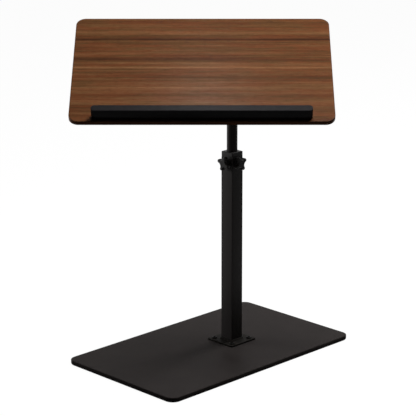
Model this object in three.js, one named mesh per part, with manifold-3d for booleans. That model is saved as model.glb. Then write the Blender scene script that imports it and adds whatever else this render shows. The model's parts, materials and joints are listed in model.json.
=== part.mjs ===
// A pedestal side table. A flat steel base carries a square post near one end. A round mast slides and
// swivels in the post, held by two hand knobs, and a tilting board with a book stop stands on the mast.
// Millimetres, +Z up, origin on the floor under the middle of the base, the post towards +X.
// It is drawn with the board swivelled and tilted towards a reader, as its REST values say.

import * as THREE from 'three';
import { mergeVertices } from 'three/addons/utils/BufferGeometryUtils.js';
import Module from 'manifold-3d';

// Clearances that the whole table shares
const SEAT_GAP = 0.3;
const HOLE_GAP = 0.3;
const RUN_GAP = 0.3;
const CUT_OVERRUN = 1;
const JOIN_DISTANCE = 0.001;

// Base plate and floor mat
const BASE_LONG = 500;
const BASE_WIDE = 300;
const BASE_CORNER = 19;
const PLATE_THICK = 8;
const PLATE_CHAMFER = 0.8;
const MAT_THICK = 1.2;
const MAT_MARGIN = 1;

// Round mast and the square post that guides it
const TUBE_DIA = 21;
const TUBE_WALL = 1.5;
const BUSH_WALL = 2.4;
const POST_WALL = 1.5;
const POST_CORNER = 1;
const POST_TALL = 377.3;
const POST_OFFSET = 58;

// Foot flange and its bolts
const FOOT_MARGIN = 20;
const FOOT_THICK = 3;
const FOOT_CORNER = 4;
const FOOT_BOLT_INSET = 10.5;
const FOOT_BOLT_DIA = 6;
const FOOT_BOLT_SHORT = 1.5;
const FOOT_HEAD_DIA = 10.5;
const FOOT_HEAD_TALL = 3;
const FOOT_SOCKET_DIA = 4.6;
const FOOT_SOCKET_DEEP = 1.8;
const SHOULDER_SHARE = 0.35;

// Collar bush in the top of the post
const BUSH_HEAD_TALL = 12;
const BUSH_SLEEVE_TALL = 30;
const BUSH_CHAMFER = 1;
const BUSH_CORNER = 1.6;
const SLEEVE_CORNER = 0.8;

// Height knobs, their screws, pads and threaded inserts
const KNOB_DROP = 21.5;
const SCREW_DIA = 6;
const SCREW_IN_KNOB = 8;
const INSERT_WALL = 1.2;
const INSERT_FLANGE_DIA = 12;
const INSERT_FLANGE_THICK = 1;
const INSERT_SHORT = 0.7;
const PAD_THICK = 2;
const KNOB_STANDOFF = 1;
const KNOB_NECK_DIA = 9.4;
const KNOB_NECK_LONG = 2.5;
const KNOB_REACH = 15;
const KNOB_LOBE_DIA = 7.4;
const KNOB_WAIST = 8;
const KNOB_THICK = 8;
const KNOB_CHAMFER = 1;
const KNOB_LOBES = 4;

// Glide at the mast's lower end
const REST_CLEARANCE = 53.8;
const PLUG_FLANGE_TALL = 4;
const PLUG_FLANGE_DIA = 25;
const PLUG_SPIGOT_TALL = 12;
const GLIDE_TALL = 22;
const CLIP_TALL = 1.5;
const CLIP_WALL = 1.6;

// Tilt head at the mast's top
const PIVOT_RISE = 125.5;
const SHEET = 3;
const HEAD_INSIDE = 30;
const HEAD_DEEP = 36;
const HEAD_TOP = 14;
const HEAD_CORNER = 10;
const CLAMP_RADIUS = 38;
const HEAD_FLOOR = 22;

// Pivot and clamp hardware
const PIN_DIA = 8;
const PIN_FLATS = 13;
const PIN_HEAD_TALL = 5.3;
const PIN_NUT_TALL = 8;
const PIN_END = 1.2;
const WASHER_DIA = 16;
const WASHER_THICK = 1.6;
const SLIP_DIA = 18;
const SLIP_THICK = 1;
const SPACER_WALL = 1.7;

// Tilt clamp knob
const THRUST_DIA = 20;
const THRUST_THICK = 2;
const TILT_NECK_DIA = 18;
const TILT_NECK_LONG = 5;
const TILT_REACH = 20;
const TILT_LOBE_DIA = 12;
const TILT_WAIST = 10.5;
const TILT_THICK = 13;
const TILT_CHAMFER = 1.5;
const TILT_INSERT_WALL = 2;
const TILT_INSERT_LONG = 11;
const TILT_CROWN = 3;

// Tilt bracket under the board
const PIVOT_DROP = 42;
const BRACKET_LONG = 120;
const BRACKET_WIDE = 150;
const BRACKET_CORNER = 8;
const EAR_RIM = 4.7;
const EAR_BOSS = 13;
const EAR_TOP_FRONT = 36;
const EAR_TOP_BACK = 30;
const BRACKET_SCREW_INSET = 12;

// Wood screws
const WOOD_SCREW_DIA = 4;
const WOOD_HEAD_DIA = 8;
const WOOD_HEAD_TALL = 2.4;
const WOOD_CROWN_SHARE = 0.6;
const BOARD_BITE = 6;
const LIP_BITE = 13;
const PILOT_EXTRA = 0.5;

// Board, edge band and book stop
const BOARD_LONG = 500;
const BOARD_WIDE = 300;
const BOARD_THICK = 9;
const BOARD_CORNER = 19;
const BAND_THICK = 1;
const LIP_END_MARGIN = 43;
const LIP_DEEP = 16;
const LIP_TALL = 22;
const LIP_SETBACK = 5.5;
const LIP_CORNER = 7;
const LIP_CHAMFER = 1;
const LIP_SCREW_SPREAD = 180;

// Angles: how the board and the height knobs stand at rest, how far the board tilts, and its slot
const REST_SWIVEL = -45;
const REST_TILT = 30;
const SIDE_KNOB_TURN = -20;
const FRONT_KNOB_TURN = 30;
const TILT_LOWEST = 0;
const TILT_HIGHEST = 60;
const SLOT_SPARE = 1;
const EAR_SPARE = 14;

// How finely round things are drawn
const TUBE_SIDES = 28;
const BOLT_SIDES = 16;
const SCREW_SIDES = 10;
const CORNER_STEPS = 6;
const SMALL_CORNER_STEPS = 3;
const ARC_STEPS = 12;
const LOBE_STEPS = 4;

// Sizes and places that follow from the ones above
const BORE_DIA = TUBE_DIA + 2 * RUN_GAP;
const POST_INSIDE = BORE_DIA + 2 * (BUSH_WALL + SEAT_GAP);
const POST_SIDE = POST_INSIDE + 2 * POST_WALL;
const PLATE_TOP = MAT_THICK + PLATE_THICK;
const FOOT_TOP = PLATE_TOP + FOOT_THICK;
const POST_TOP = FOOT_TOP + POST_TALL;
const COLLAR_TOP = POST_TOP + BUSH_HEAD_TALL;
const KNOB_HIGH = COLLAR_TOP - KNOB_DROP;
const FOOT_SIDE = POST_SIDE + 2 * FOOT_MARGIN;
const FOOT_BOLT_AT = FOOT_SIDE / 2 - FOOT_BOLT_INSET;
const INSERT_BORE = SCREW_DIA + 2 * HOLE_GAP;
const INSERT_DIA = INSERT_BORE + 2 * INSERT_WALL;
const PLUG_BOTTOM = FOOT_TOP + REST_CLEARANCE;
const TUBE_BOTTOM = PLUG_BOTTOM + PLUG_FLANGE_TALL;
const PIVOT_HIGH = COLLAR_TOP + PIVOT_RISE;
const HEAD_BOTTOM = PIVOT_HIGH - CLAMP_RADIUS - HEAD_FLOOR;
const HEAD_WIDE = HEAD_INSIDE + 2 * SHEET;
const EAR_INSIDE = HEAD_WIDE + 2 * (SLIP_THICK + 2 * SEAT_GAP);
const EAR_OUTSIDE = EAR_INSIDE + 2 * SHEET;
const EAR_TOP = PIVOT_DROP - SHEET - 2 * SEAT_GAP;
const SLOT_HALF = PIN_DIA / 2 + HOLE_GAP;

const wasm = await Module();
wasm.setup();

const UP = new THREE.Vector3(0, 0, 1);
const ALONG_X = new THREE.Matrix4().makeBasis(new THREE.Vector3(0, 1, 0), UP, new THREE.Vector3(1, 0, 0));
const radians = THREE.MathUtils.degToRad;

// A closed geometry as a solid that can be cut and joined
function solidOf(geometry) {
  const bare = geometry.clone();
  bare.deleteAttribute('normal');
  bare.deleteAttribute('uv');
  const merged = mergeVertices(bare);
  const vertProperties = Float32Array.from(merged.attributes.position.array);
  const triVerts = Uint32Array.from(merged.index.array);
  return new wasm.Manifold(new wasm.Mesh({ numProp: 3, vertProperties, triVerts }));
}

function geometryOf(solid) {
  const mesh = solid.getMesh();
  const geometry = new THREE.BufferGeometry();
  geometry.setAttribute('position', new THREE.BufferAttribute(mesh.vertProperties, mesh.numProp));
  geometry.setIndex(new THREE.BufferAttribute(mesh.triVerts, 1));
  geometry.computeVertexNormals();
  return geometry;
}

function cut(geometry, ...cutters) {
  const solid = cutters.reduce((rest, cutter) => rest.subtract(solidOf(cutter)), solidOf(geometry));
  return geometryOf(solid);
}

function join(geometry, ...others) {
  const solid = others.reduce((whole, other) => whole.add(solidOf(other)), solidOf(geometry));
  return geometryOf(solid);
}

function common(geometry, other) {
  return geometryOf(solidOf(geometry).intersect(solidOf(other)));
}

// A rectangle with round corners, centred on the origin
function roundedRectangle(long, wide, corner) {
  const x = long / 2;
  const y = wide / 2;
  const shape = new THREE.Shape();
  shape.moveTo(x, y - corner);
  shape.absarc(x - corner, y - corner, corner, 0, Math.PI / 2);
  shape.absarc(corner - x, y - corner, corner, Math.PI / 2, Math.PI);
  shape.absarc(corner - x, corner - y, corner, Math.PI, Math.PI * 1.5);
  shape.absarc(x - corner, corner - y, corner, Math.PI * 1.5, Math.PI * 2);
  return shape;
}

// The same outline without the doubled points where its arcs meet
function withoutDoubles(shape, steps) {
  const points = shape.extractPoints(steps).shape;
  const kept = points.filter((point, i) => point.distanceTo(points.at(i - 1)) > JOIN_DISTANCE);
  return new THREE.Shape(kept);
}

// A shape drawn out along +Z from z = low, its rims chamfered when a chamfer is given
function drawOut(shape, low, tall, chamfer = 0, steps = CORNER_STEPS) {
  const geometry = new THREE.ExtrudeGeometry(withoutDoubles(shape, steps), {
    depth: tall - 2 * chamfer,
    curveSegments: steps,
    bevelEnabled: chamfer > 0,
    bevelThickness: chamfer,
    bevelSize: chamfer,
    bevelOffset: -chamfer,
    bevelSegments: 1,
  });
  return geometry.translate(0, 0, low + chamfer);
}

function plate(long, wide, corner, low, tall, chamfer = 0, steps = CORNER_STEPS) {
  return drawOut(roundedRectangle(long, wide, corner), low, tall, chamfer, steps);
}

// A plate or block whose corners are only just eased
function easedBlock(side, corner, low, tall) {
  return plate(side, side, corner, low, tall, 0, SMALL_CORNER_STEPS);
}

// A straight-sided bar of square or oblong section on the Z axis
function bar(long, wide, low, tall) {
  return new THREE.BoxGeometry(long, wide, tall).translate(0, 0, low + tall / 2);
}

function rod(diameter, low, tall, sides = BOLT_SIDES) {
  const geometry = new THREE.CylinderGeometry(diameter / 2, diameter / 2, tall, sides);
  return geometry.rotateX(Math.PI / 2).translate(0, 0, low + tall / 2);
}

// A turned piece: its half section as [radius, height] points, anticlockwise, spun about Z
function turned(points, sides = BOLT_SIDES) {
  const outline = points.map(([radius, height]) => new THREE.Vector2(radius, height));
  return new THREE.LatheGeometry(outline, sides).rotateX(Math.PI / 2);
}

function sleeve(inner, outer, low, tall, sides = BOLT_SIDES) {
  const [r, R, top] = [inner / 2, outer / 2, low + tall];
  return turned([[r, low], [R, low], [R, top], [r, top], [r, low]], sides);
}

function hexPrism(flats, low, tall) {
  return rod(flats / Math.cos(Math.PI / 6), low, tall, 6);
}

// Lobes joined by hollow arcs. Each hollow touches its two lobes and comes in to the waist.
function starShape(reach, lobeDiameter, waist, lobes) {
  const lobe = lobeDiameter / 2;
  const lobeAt = reach - lobe;
  const half = Math.PI / lobes;
  const slack = lobe - waist;
  const hollowAt = (lobeAt ** 2 - slack ** 2) / (2 * (slack + lobeAt * Math.cos(half)));
  const hollow = hollowAt - waist;
  const hollowX = hollowAt * Math.cos(half);
  const hollowY = hollowAt * Math.sin(half);
  const lean = Math.atan2(hollowY, hollowX - lobeAt);
  const shape = new THREE.Shape();
  for (let i = 0; i < lobes; i += 1) {
    const turn = 2 * half * i;
    const next = turn + half;
    const spread = 2 * (lean - half);
    shape.absarc(lobeAt * Math.cos(turn), lobeAt * Math.sin(turn), lobe, turn - lean, turn + lean);
    const from = turn + lean + Math.PI;
    shape.absarc(hollowAt * Math.cos(next), hollowAt * Math.sin(next), hollow, from, from - spread, true);
  }
  return shape;
}

function finish(color, roughness, metalness) {
  return new THREE.MeshStandardMaterial({ color, roughness, metalness });
}

const blackSteel = finish(0x2e2c2b, 0.5, 0.3);
const blackPlastic = finish(0x1d1c1c, 0.55, 0);
const nylon = finish(0xd8d4c8, 0.5, 0);
const zincSteel = finish(0xb4b6b8, 0.35, 1);
const darkBolt = finish(0x252423, 0.45, 0.6);
const brass = finish(0xb8955a, 0.35, 1);
const foam = finish(0x161616, 0.9, 0);
const walnut = finish(0x8a6248, 0.5, 0);
const walnutEdge = finish(0x3a2418, 0.55, 0);
const stopBlack = finish(0x232224, 0.45, 0);

function add(parent, name, geometry, material) {
  const mesh = new THREE.Mesh(geometry, material);
  mesh.name = name;
  parent.add(mesh);
  return mesh;
}

const table = new THREE.Group();

// Base: the mat glued under a chamfered steel plate that is drilled for the foot's bolts
const base = new THREE.Group();
table.add(base);
add(base, 'base_mat', plate(
  BASE_LONG - 2 * MAT_MARGIN,
  BASE_WIDE - 2 * MAT_MARGIN,
  BASE_CORNER - MAT_MARGIN,
  0,
  MAT_THICK,
), foam);

const footBolts = [[-1, -1], [1, -1], [1, 1], [-1, 1]].map(([x, y]) => [x * FOOT_BOLT_AT, y * FOOT_BOLT_AT]);
const footHole = (low, tall) => rod(FOOT_BOLT_DIA + 2 * HOLE_GAP, low - CUT_OVERRUN, tall + 2 * CUT_OVERRUN);
const plateHoles = footBolts.map(([x, y]) => (
  footHole(MAT_THICK, PLATE_THICK).translate(POST_OFFSET + x, y, 0)
));
const basePlate = plate(BASE_LONG, BASE_WIDE, BASE_CORNER, MAT_THICK, PLATE_THICK, PLATE_CHAMFER);
add(base, 'base_plate', cut(basePlate, ...plateHoles), blackSteel);

// Post: everything below stands on its axis
const post = new THREE.Group();
post.position.x = POST_OFFSET;
table.add(post);

const flangeHoles = footBolts.map(([x, y]) => footHole(PLATE_TOP, FOOT_THICK).translate(x, y, 0));
const flange = easedBlock(FOOT_SIDE, FOOT_CORNER, PLATE_TOP, FOOT_THICK);
add(post, 'foot_flange', cut(flange, ...flangeHoles), blackSteel);

// A button head with a round socket on a plain shank
function footBolt() {
  const shank = FOOT_BOLT_DIA / 2;
  const head = FOOT_HEAD_DIA / 2;
  const socket = FOOT_SOCKET_DIA / 2;
  const low = MAT_THICK + FOOT_BOLT_SHORT;
  const top = FOOT_TOP + FOOT_HEAD_TALL;
  const floor = top - FOOT_SOCKET_DEEP;
  const shoulder = FOOT_TOP + FOOT_HEAD_TALL * SHOULDER_SHARE;
  return turned([
    [0, low], [shank, low], [shank, FOOT_TOP], [head, FOOT_TOP], [head, shoulder],
    [(head + socket) / 2, top], [socket, top], [socket, floor], [0, floor],
  ]);
}
footBolts.forEach(([x, y], i) => {
  add(post, `foot_bolt_${i + 1}`, footBolt().translate(x, y, 0), darkBolt);
});

// The side of the post that a height knob is on: local +Z points out of the wall, local +X up
function knobSide(rotation, x, y) {
  const side = new THREE.Group();
  side.position.set(x * POST_SIDE / 2, y * POST_SIDE / 2, KNOB_HIGH);
  side.rotation.copy(rotation);
  post.add(side);
  return side;
}
const knobSides = {
  side: knobSide(new THREE.Euler(0, -Math.PI / 2, 0), -1, 0),
  front: knobSide(new THREE.Euler(Math.PI / 2, 0, Math.PI / 2), 0, -1),
};

// A cutter along a knob's axis, in the post's own frame
function knobBore(side, diameter, depth) {
  side.updateMatrix();
  return rod(diameter, -depth, depth + CUT_OVERRUN).applyMatrix4(side.matrix);
}
const insertHole = INSERT_DIA + 2 * HOLE_GAP;
const wallHoles = Object.values(knobSides).map((side) => knobBore(side, insertHole, POST_WALL + CUT_OVERRUN));
const sleeveHoles = Object.values(knobSides).map((side) => knobBore(side, insertHole, POST_SIDE / 2));

const postOutside = easedBlock(POST_SIDE, POST_CORNER, FOOT_TOP, POST_TALL);
const postHollow = bar(POST_INSIDE, POST_INSIDE, FOOT_TOP - CUT_OVERRUN, POST_TALL + 2 * CUT_OVERRUN);
add(post, 'post_tube', cut(postOutside, postHollow, ...wallHoles), blackSteel);

const bushSide = POST_INSIDE - 2 * SEAT_GAP;
const bushSleeve = easedBlock(
  bushSide,
  SLEEVE_CORNER,
  POST_TOP - BUSH_SLEEVE_TALL,
  BUSH_SLEEVE_TALL + BUSH_HEAD_TALL / 2,
);
const bushHead = bar(POST_SIDE, POST_SIDE, POST_TOP, BUSH_HEAD_TALL);
const bushTop = plate(
  POST_SIDE,
  POST_SIDE,
  BUSH_CORNER,
  POST_TOP - BUSH_HEAD_TALL,
  2 * BUSH_HEAD_TALL,
  BUSH_CHAMFER,
  SMALL_CORNER_STEPS,
);
const bushBore = rod(
  BORE_DIA,
  POST_TOP - BUSH_SLEEVE_TALL - CUT_OVERRUN,
  BUSH_SLEEVE_TALL + BUSH_HEAD_TALL + 2 * CUT_OVERRUN,
  TUBE_SIDES,
);
const bushBody = join(common(bushHead, bushTop), bushSleeve);
add(post, 'collar_bush', cut(bushBody, bushBore, ...sleeveHoles), blackPlastic);

// Height knobs: a flanged insert in the wall, a pad at the mast, the screw and the knob moulded on it
const padFace = SEAT_GAP - (POST_SIDE - TUBE_DIA) / 2;
const screwTip = padFace + PAD_THICK + SEAT_GAP;
const neckFace = INSERT_FLANGE_THICK + KNOB_STANDOFF;
const screwEnd = neckFace + SCREW_IN_KNOB;

function threadedInsert() {
  const bore = INSERT_BORE / 2;
  const barrel = INSERT_DIA / 2;
  const rim = INSERT_FLANGE_DIA / 2;
  const tip = INSERT_SHORT - POST_WALL - SEAT_GAP - BUSH_WALL;
  return turned([
    [bore, tip], [barrel, tip], [barrel, 0], [rim, 0],
    [rim, INSERT_FLANGE_THICK], [bore, INSERT_FLANGE_THICK], [bore, tip],
  ]);
}

// A star knob on a round neck, with a blind hole for what is moulded into it
function starKnob(shape, neckDiameter, low, neckLong, thick, chamfer, ...holes) {
  const star = drawOut(shape, low + neckLong, thick, chamfer, LOBE_STEPS);
  const neck = rod(neckDiameter, low, neckLong + thick / 2);
  return cut(join(star, neck), ...holes);
}

function heightKnob(side, name, turn) {
  const shape = starShape(KNOB_REACH, KNOB_LOBE_DIA, KNOB_WAIST, KNOB_LOBES);
  const hole = rod(SCREW_DIA + 2 * HOLE_GAP, neckFace - CUT_OVERRUN, SCREW_IN_KNOB + SEAT_GAP + CUT_OVERRUN);
  const knob = starKnob(shape, KNOB_NECK_DIA, neckFace, KNOB_NECK_LONG, KNOB_THICK, KNOB_CHAMFER, hole);
  add(side, `clamp_insert_${name}`, threadedInsert(), zincSteel);
  add(side, `pressure_pad_${name}`, rod(SCREW_DIA, padFace, PAD_THICK), nylon);
  add(side, `clamp_screw_${name}`, rod(SCREW_DIA, screwTip, screwEnd - screwTip), zincSteel);
  add(side, `clamp_knob_${name}`, knob.rotateZ(radians(turn)), blackPlastic);
}
heightKnob(knobSides.side, 'side', SIDE_KNOB_TURN);
heightKnob(knobSides.front, 'front', FRONT_KNOB_TURN);

// Mast: a round tube plugged at its foot, where a square glide keeps it central in the post
const mast = new THREE.Group();
mast.rotation.z = radians(REST_SWIVEL);
post.add(mast);

const tubeInside = TUBE_DIA - 2 * TUBE_WALL;
const tubeTall = HEAD_BOTTOM - SEAT_GAP - TUBE_BOTTOM - SEAT_GAP;
const mastTube = sleeve(tubeInside, TUBE_DIA, TUBE_BOTTOM + SEAT_GAP, tubeTall, TUBE_SIDES);
add(mast, 'mast_tube', mastTube, blackSteel);

function endPlug() {
  const rim = PLUG_FLANGE_DIA / 2;
  const spigot = tubeInside / 2 - SEAT_GAP;
  const top = TUBE_BOTTOM + PLUG_SPIGOT_TALL;
  return turned([[0, PLUG_BOTTOM], [rim, PLUG_BOTTOM], [rim, TUBE_BOTTOM], [spigot, TUBE_BOTTOM],
    [spigot, top], [0, top]], TUBE_SIDES);
}
add(mast, 'mast_end_plug', endPlug(), blackPlastic);

const glideBottom = TUBE_BOTTOM + SEAT_GAP;
const glide = easedBlock(bushSide, SLEEVE_CORNER, glideBottom, GLIDE_TALL);
const glideBore = rod(BORE_DIA, glideBottom - CUT_OVERRUN, GLIDE_TALL + 2 * CUT_OVERRUN, TUBE_SIDES);
add(post, 'square_glide', cut(glide, glideBore), nylon);

const clipBottom = glideBottom + GLIDE_TALL + SEAT_GAP;
const clipInside = TUBE_DIA + 2 * SEAT_GAP;
add(mast, 'glide_clip', sleeve(clipInside, clipInside + 2 * CLIP_WALL, clipBottom, CLIP_TALL), zincSteel);

// Tilt head: a channel folded from one sheet, open upwards, with two cross holes
const headTall = PIVOT_HIGH + HEAD_TOP - HEAD_BOTTOM;
const headBlock = bar(HEAD_WIDE, HEAD_DEEP, HEAD_BOTTOM, headTall);
const headHollow = bar(HEAD_INSIDE, HEAD_DEEP + 2 * CUT_OVERRUN, HEAD_BOTTOM + SHEET, headTall);
const headOutline = roundedRectangle(HEAD_DEEP, headTall + HEAD_CORNER, HEAD_CORNER);
const headRounding = drawOut(headOutline, -HEAD_WIDE / 2 - CUT_OVERRUN, HEAD_WIDE + 2 * CUT_OVERRUN, 0)
  .applyMatrix4(ALONG_X)
  .translate(0, 0, HEAD_BOTTOM + (headTall - HEAD_CORNER) / 2);
function crossHole(high) {
  const hole = rod(PIN_DIA + 2 * HOLE_GAP, -HEAD_WIDE, 2 * HEAD_WIDE);
  return hole.rotateY(Math.PI / 2).translate(0, 0, high);
}
const headChannel = cut(common(headBlock, headRounding), headHollow);
const tiltHead = cut(headChannel, crossHole(PIVOT_HIGH), crossHole(PIVOT_HIGH - CLAMP_RADIUS));
add(mast, 'tilt_head', tiltHead, blackSteel);

// Cross axes: local +Z runs along the board's length, towards its right-hand end
function crossAxis(high) {
  const axis = new THREE.Group();
  axis.position.z = high;
  axis.rotation.y = Math.PI / 2;
  mast.add(axis);
  return axis;
}
const pivotAxis = crossAxis(PIVOT_HIGH);
const clampAxis = crossAxis(PIVOT_HIGH - CLAMP_RADIUS);
const pinHole = PIN_DIA + 2 * HOLE_GAP;
const slipAt = HEAD_WIDE / 2 + SEAT_GAP;
const washerAt = EAR_OUTSIDE / 2 + SEAT_GAP;
const headAt = washerAt + WASHER_THICK + SEAT_GAP;

// What both cross bolts have: a spacer between the cheeks and a slip washer outside each of them
function crossHardware(axis, name) {
  const spacerTall = HEAD_INSIDE - 2 * SEAT_GAP;
  const spacer = sleeve(pinHole, pinHole + 2 * SPACER_WALL, -spacerTall / 2, spacerTall);
  add(axis, `${name}_spacer`, spacer, zincSteel);
  add(axis, `${name}_slip_washer_left`, sleeve(pinHole, SLIP_DIA, -slipAt - SLIP_THICK, SLIP_THICK), nylon);
  add(axis, `${name}_slip_washer_right`, sleeve(pinHole, SLIP_DIA, slipAt, SLIP_THICK), nylon);
  const washer = sleeve(pinHole, WASHER_DIA, -washerAt - WASHER_THICK, WASHER_THICK);
  add(axis, `${name}_washer_left`, washer, zincSteel);
}

function crossBolt(end) {
  const head = hexPrism(PIN_FLATS, -headAt - PIN_HEAD_TALL, PIN_HEAD_TALL);
  return join(head, rod(PIN_DIA, -headAt - PIN_HEAD_TALL / 2, headAt + PIN_HEAD_TALL / 2 + end));
}

crossHardware(pivotAxis, 'pivot');
const nutTop = headAt + PIN_NUT_TALL;
const nutHole = rod(pinHole, headAt - CUT_OVERRUN, PIN_NUT_TALL + 2 * CUT_OVERRUN);
add(pivotAxis, 'pivot_bolt', crossBolt(nutTop + PIN_END), zincSteel);
add(pivotAxis, 'pivot_washer_right', sleeve(pinHole, WASHER_DIA, washerAt, WASHER_THICK), zincSteel);
add(pivotAxis, 'pivot_nut', cut(hexPrism(PIN_FLATS, headAt, PIN_NUT_TALL), nutHole), zincSteel);

// Tilt clamp: the knob's brass insert runs on the clamp bolt and presses a thrust washer on the ear
crossHardware(clampAxis, 'clamp');
const tiltNeckFace = washerAt + THRUST_THICK + SEAT_GAP;
const tiltKnobTop = tiltNeckFace + TILT_NECK_LONG + TILT_THICK;
const clampBoltEnd = tiltKnobTop - TILT_CROWN - SEAT_GAP;
const insertOutside = pinHole + 2 * TILT_INSERT_WALL;
const insertPocket = rod(
  insertOutside + 2 * SEAT_GAP,
  tiltNeckFace - CUT_OVERRUN,
  TILT_INSERT_LONG + SEAT_GAP + CUT_OVERRUN,
);
const boltPocket = rod(pinHole, tiltNeckFace, tiltKnobTop - TILT_CROWN - tiltNeckFace);
const tiltKnob = starKnob(
  starShape(TILT_REACH, TILT_LOBE_DIA, TILT_WAIST, KNOB_LOBES),
  TILT_NECK_DIA,
  tiltNeckFace,
  TILT_NECK_LONG,
  TILT_THICK,
  TILT_CHAMFER,
  insertPocket,
  boltPocket,
);
add(clampAxis, 'clamp_bolt', crossBolt(clampBoltEnd), zincSteel);
add(clampAxis, 'tilt_thrust_washer', sleeve(pinHole, THRUST_DIA, washerAt, THRUST_THICK), zincSteel);
add(clampAxis, 'tilt_knob', tiltKnob, blackPlastic);
add(clampAxis, 'tilt_knob_insert', sleeve(pinHole, insertOutside, tiltNeckFace, TILT_INSERT_LONG), brass);

// Board assembly: turns about the pivot. +Y runs to the board's back edge, +Z out of its top.
const top = new THREE.Group();
top.position.z = PIVOT_HIGH;
top.rotation.x = radians(REST_TILT);
mast.add(top);

// A point on an arc about the pivot, its angle counted from straight down towards the front
function slotPoint(radius, degrees) {
  return [-radius * Math.sin(radians(degrees)), -radius * Math.cos(radians(degrees))];
}
const arcAngle = (degrees) => radians(270 - degrees);

function slotShape() {
  const first = TILT_LOWEST - SLOT_SPARE;
  const last = TILT_HIGHEST + SLOT_SPARE;
  const [startY, startZ] = slotPoint(CLAMP_RADIUS, first);
  const [endY, endZ] = slotPoint(CLAMP_RADIUS, last);
  const shape = new THREE.Shape();
  shape.absarc(0, 0, CLAMP_RADIUS + SLOT_HALF, arcAngle(first), arcAngle(last), true);
  shape.absarc(endY, endZ, SLOT_HALF, arcAngle(last), arcAngle(last) - Math.PI, true);
  shape.absarc(0, 0, CLAMP_RADIUS - SLOT_HALF, arcAngle(last), arcAngle(first), false);
  shape.absarc(startY, startZ, SLOT_HALF, arcAngle(first) + Math.PI, arcAngle(first), true);
  return shape;
}

// The ear's outline in the board's Y and Z: a quadrant round the slot, tapering up to the plate
function earShape() {
  const rim = CLAMP_RADIUS + SLOT_HALF + EAR_RIM;
  const back = TILT_LOWEST - EAR_SPARE;
  const front = TILT_HIGHEST + EAR_SPARE;
  const shape = new THREE.Shape();
  shape.moveTo(EAR_TOP_BACK, EAR_TOP);
  shape.lineTo(-EAR_TOP_FRONT, EAR_TOP);
  shape.lineTo(...slotPoint(rim, front));
  shape.absarc(0, 0, rim, arcAngle(front), arcAngle(back), false);
  shape.lineTo(EAR_BOSS, 0);
  return shape;
}

function ear(x) {
  const blank = drawOut(earShape(), 0, SHEET, 0, ARC_STEPS);
  const slot = drawOut(slotShape(), -CUT_OVERRUN, SHEET + 2 * CUT_OVERRUN, 0, ARC_STEPS);
  const hole = rod(pinHole, -CUT_OVERRUN, SHEET + 2 * CUT_OVERRUN);
  return cut(blank, slot, hole).applyMatrix4(ALONG_X).translate(x, 0, 0);
}
add(top, 'bracket_ear_left', ear(-EAR_OUTSIDE / 2), blackSteel);
add(top, 'bracket_ear_right', ear(EAR_INSIDE / 2), blackSteel);

const bracketBottom = EAR_TOP + SEAT_GAP;
const bracketX = BRACKET_LONG / 2 - BRACKET_SCREW_INSET;
const bracketY = BRACKET_WIDE / 2 - BRACKET_SCREW_INSET;
const bracketScrews = [[-1, -1], [1, -1], [1, 1], [-1, 1]].map(([x, y]) => [x * bracketX, y * bracketY]);
const screwHole = (low, tall) => rod(WOOD_SCREW_DIA + 2 * HOLE_GAP, low, tall, SCREW_SIDES);
const bracketHoles = bracketScrews.map(([x, y]) => (
  screwHole(bracketBottom - CUT_OVERRUN, SHEET + 2 * CUT_OVERRUN).translate(x, y, 0)
));
const bracketPlate = plate(BRACKET_LONG, BRACKET_WIDE, BRACKET_CORNER, bracketBottom, SHEET);
add(top, 'bracket_plate', cut(bracketPlate, ...bracketHoles), blackSteel);

// A wood screw driven upwards: a low domed head under what it holds, a plain shank and a point
function woodScrew(seat, tip) {
  const shank = WOOD_SCREW_DIA / 2;
  const head = WOOD_HEAD_DIA / 2;
  const low = seat - WOOD_HEAD_TALL;
  return turned([
    [0, low], [head * WOOD_CROWN_SHARE, low], [head, low + WOOD_HEAD_TALL / 2], [head, seat], [shank, seat],
    [shank, tip - WOOD_SCREW_DIA], [0, tip],
  ], SCREW_SIDES);
}
bracketScrews.forEach(([x, y], i) => {
  const screw = woodScrew(bracketBottom - SEAT_GAP, PIVOT_DROP + BOARD_BITE);
  add(top, `bracket_screw_${i + 1}`, screw.translate(x, y, 0), zincSteel);
});

// The board is shifted along its length so that, swivelled home, it stands over the base
const board = new THREE.Group();
board.position.set(-POST_OFFSET, 0, PIVOT_DROP);
top.add(board);

const lipY = LIP_SETBACK + LIP_DEEP / 2 - BOARD_WIDE / 2;
const lipScrews = [-1, 0, 1].map((side) => [side * LIP_SCREW_SPREAD, lipY]);
const boardInset = BAND_THICK + SEAT_GAP;
const boardHoles = [
  ...bracketScrews.map(([x, y]) => (
    screwHole(-CUT_OVERRUN, CUT_OVERRUN + BOARD_BITE + PILOT_EXTRA).translate(x + POST_OFFSET, y, 0)
  )),
  ...lipScrews.map(([x, y]) => screwHole(-CUT_OVERRUN, BOARD_THICK + 2 * CUT_OVERRUN).translate(x, y, 0)),
];
const boardCore = plate(
  BOARD_LONG - 2 * boardInset,
  BOARD_WIDE - 2 * boardInset,
  BOARD_CORNER - boardInset,
  0,
  BOARD_THICK,
);
add(board, 'table_board', cut(boardCore, ...boardHoles), walnut);

const bandOutside = plate(BOARD_LONG, BOARD_WIDE, BOARD_CORNER, 0, BOARD_THICK);
const bandInside = plate(
  BOARD_LONG - 2 * BAND_THICK,
  BOARD_WIDE - 2 * BAND_THICK,
  BOARD_CORNER - BAND_THICK,
  -CUT_OVERRUN,
  BOARD_THICK + 2 * CUT_OVERRUN,
);
add(board, 'edge_band', cut(bandOutside, bandInside), walnutEdge);

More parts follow.
